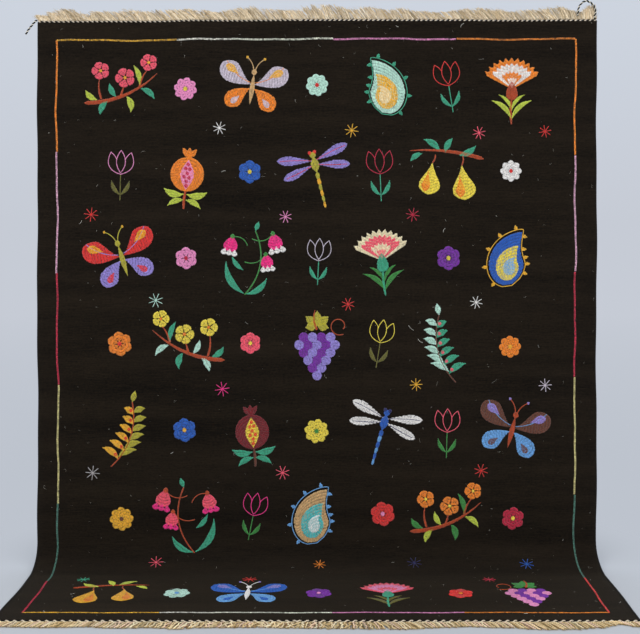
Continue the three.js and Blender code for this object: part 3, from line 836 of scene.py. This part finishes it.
def dragonfly(wing, vein, body, band):
    wings = both_sides(
        satin(wing, 5 + 36j, 104 + 60j, 26, PETAL, slant=0),
        satin(wing, 5 + 24j, 98 + 2j, 25, PETAL, slant=0),
        line(vein, bow(8 + 37j, 96 + 57j, 0.02), 1, 2.2),
        line(vein, bow(8 + 23j, 88 + 4j, -0.02), 1, 2.2),
        fill(vein, disc(7 + 60j, 5), layer=2),
    )
    tail = [satin((body, band)[k % 2], 6 - 17j * k, 6 - 17j * (k + 1), 12 - k, BAND) for k in range(6)]
    tail = [moved(part, -6) for part in tail]
    chest = satin(body, 0j, 48j, 24, LEAF, slant=90, layer=1)
    return sewn(wings, *tail, chest, fill(body, disc(53j, 9), layer=1))


def paisley(outer, middle, heart, edge):
    drops = [(outer, 1.0, 0), (middle, 0.66, -3 - 13j), (heart, 0.34, -3 - 22j)]
    nest = [
        satin(dye, c - 74j * s, c + (30 + 78j) * s, 100 * s, DROP, 0.2, layer, 8)
        for layer, (dye, s, c) in enumerate(drops)
    ]
    rim = blade(-78j, 34 + 86j, 112, DROP, 0.2)
    buds = []
    for k in range(3, 49, 5):
        out = (rim[k] - rim[k - 1]) * -1j
        buds.append(satin(edge, rim[k], rim[k] - 15 * out / abs(out), 9, DROP, slant=0))
    return sewn(*nest, line(edge, rim, 1, 2.6), *buds)


def sprig(bark, petal, heart, leaf, light):
    blossoms = [
        moved(blossom(petal, heart), place, size, 20 * size)
        for place, size in ((-62 + 50j, 1.05), (8 + 30j, 1.15), (76 + 74j, 1.0))
    ]
    leaves = [
        satin(leaf, -70 - 34j, -104 - 6j, 17, bend=0.15), satin(light, -40 - 38j, -62 - 78j, 18, bend=-0.15),
        satin(light, -16 - 26j, -36 + 14j, 16, bend=0.1), satin(leaf, 12 - 24j, 24 - 70j, 19, bend=0.15),
        satin(light, 52 - 2j, 92 - 32j, 17, bend=0.15), satin(leaf, 50 + 8j, 32 + 66j, 15, bend=-0.1),
    ]
    twigs = [
        satin(bark, -108 - 44j, 100 + 42j, 12, TAPER, -0.1),
        satin(bark, -58 - 34j, -64 + 30j, 6, TAPER, 0.08),
        satin(bark, -4 - 24j, 6 + 10j, 6, TAPER),
        satin(bark, 50 + 4j, 74 + 54j, 6, TAPER, 0.08),
    ]
    return sewn(*twigs, *leaves, *blossoms)


def carnation(petal, edge, calyx, leaf):
    fans = [(-6j, 96, 28, 152, 11, 0.12), (-4j, 78, 36, 144, 9, 0.12)]
    fans += [(-2j, 50, 48, 132, 6, 0.14), (-2j, 32, 60, 120, 4, 0.16)]
    flower = [fill((edge, petal)[k % 2], fan(*sizes), 90, k) for k, sizes in enumerate(fans)]
    leaves = both_sides(
        satin(leaf, -98j, 62 - 40j, 15, bend=0.14), satin(leaf, -72j, 40 - 22j, 11, bend=0.14)
    )
    stem = satin(calyx, -112j, -30j, 7, BAND, 0.03)
    return sewn(*flower, satin(calyx, -40j, 18j, 34, DROP, slant=0, layer=4), stem, leaves)


def pomegranate(rind, pulp, seed, leaf, bark):
    crown = [satin(rind, 44j, 78j * np.exp(1j * math.radians(a)), 15, LEAF, slant=0) for a in (-16, 0, 16)]
    seeds = [
        fill(seed, disc(x - 8 + 1j * y, 5.5), 30, 2)
        for x, y in ((8, 26), (2, 13), (14, 12), (8, -1), (-1, -12), (15, -14), (7, -26), (8, -39))
    ]
    fruit = [fill(rind, disc(-4j, 52, 0.97), 70), fill(pulp, blade(-52j, 40j, 40), 90, 1)]
    upper = satin(leaf, 4 - 64j, 66 - 52j, 21, bend=-0.14)
    leaves = both_sides(upper, satin(leaf, 2 - 82j, 50 - 104j, 17, bend=0.12))
    return sewn(*crown, *fruit, *seeds, satin(bark, -110j, -54j, 8, BAND, 0.04), leaves)


def grapes(berry, light, leaf, bark):
    bunch = []
    for row, count in enumerate((4, 5, 4, 3, 2, 1)):
        for k in range(count):
            place = (k - (count - 1) / 2) * 27 + 1j * (22 - 23 * row)
            bunch.append(fill((berry, light)[(row + k) % 2], disc(place, 14.5), 25 * k))
    lobes = [
        satin(leaf, 58j, 58j + size * np.exp(1j * math.radians(a)), 26, LEAF, layer=1)
        for a, size in ((90, 44), (38, 44), (142, 44), (-12, 36), (192, 36))
    ]
    tendril = 26 + 56j + (16 + 12 * np.linspace(0, 1, 30)) * np.exp(1j * np.linspace(-0.6, 5.2, 30)) + 40
    return sewn(*bunch, *lobes, satin(bark, 44j, -6 + 104j, 7, TAPER, 0.1, 2), line(bark, tendril))


def bellflower(bell, lip, leaf, stem):
    def one(top, swing, size):
        cup = satin(bell, 6j, -44j, 44, (1.5, 0.5), slant=0)
        lips = [satin(lip, x - 34j, 1.4 * x - 56j, 17, PETAL, slant=0, layer=1) for x in (-14, 0, 14)]
        return moved(sewn(cup, *lips, fill(stem, disc(6j, 7), layer=1)), top, size, swing)

    stems = [
        line(stem, bow(-22 - 108j, 10 + 84j, -0.16), 0, 4.5), line(stem, bow(-14 + 40j, -58 + 66j, -0.2)),
        line(stem, bow(0 + 60j, 62 + 74j, -0.2)), line(stem, bow(-22 - 10j, 40 + 14j, -0.2)),
    ]
    leaves = [
        satin(leaf, -22 - 106j, -78 - 6j, 20, bend=0.16), satin(leaf, -20 - 106j, 44 - 58j, 18, bend=-0.16),
        satin(leaf, 10 + 84j, 20 + 112j, 14), satin(leaf, -26 - 34j, -60 + 6j, 14, bend=0.1),
    ]
    bells = [one(-60 + 62j, -12, 0.95), one(64 + 70j, 14, 1.0), one(42 + 8j, 8, 0.85)]
    return sewn(*stems, *leaves, *bells)


def leaf_spray(dark, light, stem, berry):
    spine = bow(-26 - 108j, 22 + 84j, -0.14)
    parts = [line(stem, spine, 0, 4.0), satin(light, spine[-1], spine[-1] + 6 + 34j, 17)]
    for k in range(6):
        place, size = spine[4 + 4 * k], 58 - 4.5 * k
        left, right = (size * np.exp(1j * math.radians(angle)) for angle in (148, 26))
        parts.append(satin(dark, place, place + left, 19, bend=-0.12))
        parts.append(satin(light, place + 6j, place + 6j + right, 19, bend=0.12))
        parts.append(fill(berry, disc(place + 13 * np.exp(1j * math.radians(88)) - 9, 5), layer=1))
    return sewn(*parts)


def pears(rind, blush, leaf, bark):
    pear = sewn(
        satin(rind, 14j, -92j, 66, (2.2, 0.72), slant=0),
        satin(blush, 8 - 16j, 12 - 84j, 26, (2.0, 0.9), slant=0, layer=1),
        line(bark, bow(8j, -6 + 34j, 0.1), 1, 4.0),
    )
    leaves = [
        satin(leaf, -34 + 52j, -84 + 78j, 19, bend=0.12), satin(leaf, 4 + 58j, -18 + 100j, 18, bend=-0.1),
        satin(leaf, 20 + 62j, 66 + 96j, 19, bend=0.12), satin(leaf, 70 + 56j, 104 + 34j, 16, bend=0.12),
    ]
    branch = satin(bark, -106 + 40j, 106 + 64j, 11, TAPER, 0.05)
    return sewn(branch, *leaves, moved(pear, -44 + 14j, 1.0, -6), moved(pear, 42 + 22j, 0.92, 8))


# Row by row from the top, left to right: the motif, its size, its turn in degrees, mirrored or not, its dyes.
COLUMN_STEP = 372.0
FIGURE_ROWS = [
    (190, [
        (sprig, 1.0, 0, False, "rust coral mustard lime teal"),
        (butterfly, 0.95, -8, False, "lilac orange mustard tan"),
        (paisley, 0.98, 0, True, "mint mustard cream teal"),
        (carnation, 0.95, 0, False, "white orange rust lime"),
    ]),
    (436, [
        (pomegranate, 0.95, -6, False, "orange pink crimson lime rust"),
        (dragonfly, 1.0, 14, False, "lavender red olive mustard"),
        (pears, 1.0, 0, True, "yellow orange teal rust"),
    ]),
    (682, [
        (butterfly, 1.0, 18, False, "red lavender mustard olive"),
        (bellflower, 0.95, 0, False, "hotpink white teal green"),
        (carnation, 0.95, 6, False, "coral cream teal green"),
        (paisley, 0.98, 0, False, "royal yellow sky mustard"),
    ]),
    (928, [
        (sprig, 1.0, 0, True, "rust yellow orange teal mint"),
        (grapes, 0.95, 0, False, "purple lavender olive rust"),
        (leaf_spray, 1.0, 0, True, "teal mint brown coral"),
    ]),
    (1174, [
        (leaf_spray, 0.98, -4, False, "mustard olive rust red"),
        (pomegranate, 0.95, 5, True, "maroon yellow red teal brown"),
        (dragonfly, 1.0, -16, False, "white navy royal sky"),
        (butterfly, 0.98, -14, False, "brown sky lavender rust"),
    ]),
    (1420, [
        (bellflower, 0.98, 0, True, "coral hotpink teal rust"),
        (paisley, 0.98, 0, False, "tan turquoise white sky"),
        (sprig, 0.98, 0, False, "rust orange yellow green lime"),
    ]),
    (1762, [
        (pears, 0.95, 0, False, "mustard orange lime rust"),
        (butterfly, 0.98, 0, False, "royal sky lavender white"),
        (carnation, 0.9, 0, False, "pink coral teal moss"),
        (grapes, 0.9, 0, True, "purple pink green rust"),
    ]),
]


def spindle(rings):
    """Triangles of a sliver: three-cornered rings between two pointed ends."""
    last = 3 * rings + 1
    faces = []
    for c in range(3):
        n = (c + 1) % 3
        faces += [(0, 1 + n, 1 + c), (last, last - 3 + c, last - 3 + n)]
        for r in range(1, 3 * rings - 2, 3):
            faces += [(r + c, r + n, r + c + 3), (r + n, r + n + 3, r + c + 3)]
    return np.array(faces)


def slivers(start, end, width, low, rise, where):
    """Flat points of slivers between places. Each has a ring of three at every share of its length in
    where."""
    span = end - start
    aside = 0.5j * width * span / np.maximum(np.abs(span), 1e-6)
    rings = [(start, 0 * rise)]
    for share in where:
        middle = start + share * span
        rings += [(middle + aside, -0.1 * rise), (middle - aside, -0.1 * rise), (middle, rise)]
    rings.append((end, 0 * rise))
    return np.stack([np.stack([p.real, p.imag, low + up], -1) for p, up in rings], 1)


embroidery_wool = spun_yarn("crewel_wool", roughness=0.7, sheen=0.2, spot_mm=1.4, contrast=0.2)


def embroidered(name, part):
    """Stitches on the face as raised slivers, and on the hanging part's back the steps between some."""
    ends, looks = part
    start, end = ends[:, 0].conj(), ends[:, 1].conj()
    layer, width, tones = looks[:, 0], looks[:, 1], np.column_stack([looks[:, 2:], np.ones(len(looks))])
    rise = STITCH_RISE * width / STITCH_WIDTH
    face = slivers(start, end, width, THICKNESS + LAYER_RISE * layer, rise, (0.16, 0.84))
    shown = (end.imag < LEANING) & (np.arange(len(end)) % 2 == 0)
    place, span = end[shown], (end - start)[shown]
    step = 1.7j * span / np.abs(span)
    flush, sunk = np.zeros(len(place)), np.full(len(place), -0.7)
    back = slivers(place - step, place + step, width[shown] * 0.6, flush, sunk, (0.5,))
    points = np.concatenate([face.reshape(-1, 3), back.reshape(-1, 3)])
    many, few = face.shape[1], back.shape[1]
    face_order = (np.arange(len(face)) * many)[:, None, None]
    back_order = (np.arange(len(back)) * few + len(face) * many)[:, None, None]
    faces = [(spindle(2) + face_order).reshape(-1, 3), (spindle(1)[:, ::-1] + back_order).reshape(-1, 3)]
    colours = np.concatenate([per_point(tones, many), per_point(tones[shown] * 0.9, few)])
    low, high = points[:, :2].min(0), points[:, :2].max(0)
    faces = np.concatenate(faces)
    mesh_piece(name, points, faces, embroidery_wool, (), colours, (low, high))


for row, (v, motifs) in enumerate(FIGURE_ROWS):
    sewn_row = []
    for k, (motif, size, turn, mirrored, dyes) in enumerate(motifs):
        u = (k - (len(motifs) - 1) / 2) * COLUMN_STEP
        sewn_row.append(moved(motif(*dyes.split()), u - 1j * v, size, turn, mirrored))
    embroidered(f"figures_row_{row + 1}", sewn(*sewn_row))

# The small motifs
# Rosettes, stars and tulips fill the places between the figures, in the same wool. A rosette has six to eight
# petals round a heart, a star is four crossed lines, and a tulip is drawn in outline.


def star(dye, rays=8, radius=20.0):
    tips = radius * np.exp(1j * (np.pi * np.arange(rays) / rays))[::2]
    return sewn(*(line(dye, bow(-tip, tip), 0, 2.2) for tip in tips))


def tulip(petal, leaf):
    bows = [(-2j, -30 + 62j, 0.3), (-2j, 30 + 62j, -0.3), (2j, 68j, 0.2), (2j, 68j, -0.2)]
    bows += [(-30 + 62j, -12 + 40j, 0.08), (30 + 62j, 12 + 40j, -0.08)]
    cup = [line(petal, bow(*ends), 0, 2.4) for ends in bows]
    leaves = both_sides(satin(leaf, -62j, 26 - 20j, 12, bend=-0.12))
    return sewn(*cup, line(leaf, bow(-78j, -4j)), leaves)


SMALL_ROWS = [
    # in the figures' rows, from the top: the dyes of what stands in each free place, a rosette or a tulip
    "pink yellow, mint red, tulip red teal",
    "tulip pink moss, royal yellow, tulip crimson teal, white red",
    "pink crimson, tulip lilac teal, purple yellow",
    "orange red, coral yellow, tulip yellow moss, orange mustard",
    "royal mustard, yellow green, tulip coral green",
    "mustard brown, tulip hotpink green, red pink, crimson yellow",
    "mint sky, purple pink, red orange",
]
STAR_ROWS = [
    # how far down from the top hem, then each star's place across and its dye
    (313, ((-279, "white"), (93, "mustard"), (465, "coral"), (651, "red"))),
    (559, ((-651, "red"), (-93, "pink"), (279, "crimson"))),
    (805, ((-465, "mint"), (93, "red"), (465, "white"))),
    (1051, ((-279, "hotpink"), (279, "mustard"), (651, "lilac"))),
    (1297, ((-651, "grey"), (-93, "coral"), (465, "red"))),
    (1560, ((-465, "coral"), (0, "orange"), (279, "navy"), (600, "royal"))),
    (1648, ((-186, "red"), (465, "crimson"), (-640, "teal"))),
]
small = []
for (v, _), motifs in zip(FIGURE_ROWS, SMALL_ROWS):
    motifs = motifs.split(", ")
    for k, words in enumerate(motifs):
        u = (k - (len(motifs) - 1) / 2) * COLUMN_STEP
        *kind, outer, inner = words.split()
        if kind == ["tulip"]:
            part = tulip(outer, inner)
        else:
            part = blossom(outer, inner, petals=int(rng.integers(6, 9)), radius=34.0)
        near = rng.uniform(-8, 8) + 1j * rng.uniform(-8, 8)
        small.append(moved(part, u - 1j * v + near, rng.uniform(0.9, 1.05), rng.uniform(-12, 12)))
for v, stars in STAR_ROWS:
    for u, dye in stars:
        near = rng.uniform(-10, 10) + 1j * rng.uniform(-8, 8)
        small.append(moved(star(dye), u - 1j * v + near, rng.uniform(0.85, 1.05), rng.uniform(0, 45)))
embroidered("small_motifs", sewn(*small))

# The frame line
# One line goes round the whole rug, 55 mm in from its edges: two rows of stem stitch side by side, in a new
# dye every few hands' breadths, and a little wavy where the needle strayed. Yarn that runs down the cloth
# catches more light than yarn that runs across.
FRAME_LEFT, FRAME_RIGHT, FRAME_TOP, FRAME_FRONT = -746.0, 741.0, 52.0, LENGTH - 55.0
NARROWER = 5.0
ACROSS_TONE, DOWN_TONE = (0.74, 0.25), (0.98, 0.25)
FRAME_SIDES = [
    # from corner to corner: the dye of each length, and where along the side it ends
    (FRAME_LEFT - 1j * FRAME_TOP, FRAME_RIGHT - 1j * FRAME_TOP,
     [("mustard", 344), ("ivory", 500), ("celadon", 792), ("pink", 1146), ("orange", 1487)]),
    (FRAME_LEFT - 1j * FRAME_TOP, FRAME_LEFT + NARROWER - 1j * FRAME_FRONT,
     [("orange", 324), ("rose", 671), ("crimson", 992), ("straw", 1332), ("bottle", 1616),
      ("crimson", 1900)]),
    (FRAME_RIGHT - 1j * FRAME_TOP, FRAME_RIGHT - NARROWER - 1j * FRAME_FRONT,
     [("orange", 334), ("rose", 668), ("crimson", 969), ("straw", 1307), ("bottle", 1588), ("red", 1900)]),
    (FRAME_LEFT + NARROWER - 1j * FRAME_FRONT, FRAME_RIGHT - NARROWER - 1j * FRAME_FRONT,
     [("mustard", 345), ("ivory", 480), ("celadon", 781), ("pink", 1113), ("orange", 1476)]),
]
frame_line = []
for start, end, lengths in FRAME_SIDES:
    along = (end - start) / abs(end - start)
    gone = 0.0
    for dye, until in lengths:
        until = min(until, abs(end - start))
        s = np.arange(gone, until + 2, 4.0)
        wave = 1.2 * np.sin(s / 47 + gone) + 0.6 * np.sin(s / 19)
        for aside in (-1.25, 1.25):
            path = start + along * (s + 1j * (wave + aside))
            tone = ACROSS_TONE if abs(along.imag) < 0.5 else DOWN_TONE
            frame_line.append(line(dye, path, 0, 2.9, 0.05, tone))
        gone = until
embroidered("frame_line", sewn(*frame_line))

# The lint
# Pale fibres cling to the dark face, and a few cut thread ends were left by the needle and the fringe. All
# lie flat and curl a little.
LINT = 520
FIBRE_STEPS, FIBRE_CORNERS = 6, 3
LINT_SHADES = ["#c9c4b8", "#a39c8e", "#e4dfd2", "#8e8a7f"]
LOOSE_THREADS = [
    # u, v, length, heading in degrees anticlockwise from across
    (421, 8, 16, -122), (226, 14, 9, -20), (-262, 430, 13, 200), (-682, 582, 12, 60), (368, 594, 14, 250),
    (262, 872, 22, -40), (290, 912, 18, -30), (-690, 1890, 11, -60), (520, 1912, 12, 20), (-420, 1240, 9, 35),
]


def fibres(places, lengths, headings, radius, curl):
    """Thin curved fibres that lie on the face."""
    t = np.linspace(0, 1, FIBRE_STEPS)
    turn = np.radians(headings)[:, None] + curl[:, None] * (t - 0.5)
    step = (lengths / (FIBRE_STEPS - 1))[:, None] * np.exp(1j * turn)
    path = places[:, None] + np.cumsum(step, axis=1) - step
    lift = np.broadcast_to(THICKNESS + 0.5 + 0.4 * np.sin(np.pi * t), path.shape)
    return tubes(np.stack([path.real, -path.imag, lift], -1), radius[:, None], FIBRE_CORNERS)


u, v = rng.uniform(-WIDTH / 2 + 6, WIDTH / 2 - 6, LINT), rng.uniform(6, LENGTH - 6, LINT)
lengths, headings = rng.gamma(2.0, 1.8, LINT) + 1.5, rng.uniform(0, 360, LINT)
specks = fibres(u - 1j * v, lengths, headings, rng.uniform(0.12, 0.3, LINT), rng.normal(0, 1.6, LINT))
u, v, length, heading = np.array(LOOSE_THREADS, float).T
threads = fibres(u - 1j * v, length, heading, np.full(len(u), 0.55), rng.normal(0.9, 0.4, len(u)))
points = np.concatenate([specks[0], threads[0]])
faces = np.concatenate([specks[1], threads[1] + len(specks[0])])
shades = [LINT_SHADES[k] for k in rng.integers(0, len(LINT_SHADES), LINT)] + [LINT_SHADES[2]] * len(u)
colours = per_point([linear(shade) for shade in shades], FIBRE_STEPS * FIBRE_CORNERS)
cotton_piece("lint", points, faces, colours)

size = {"cad": [list(c) for c in cad_box], "visual": [list(c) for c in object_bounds()]}
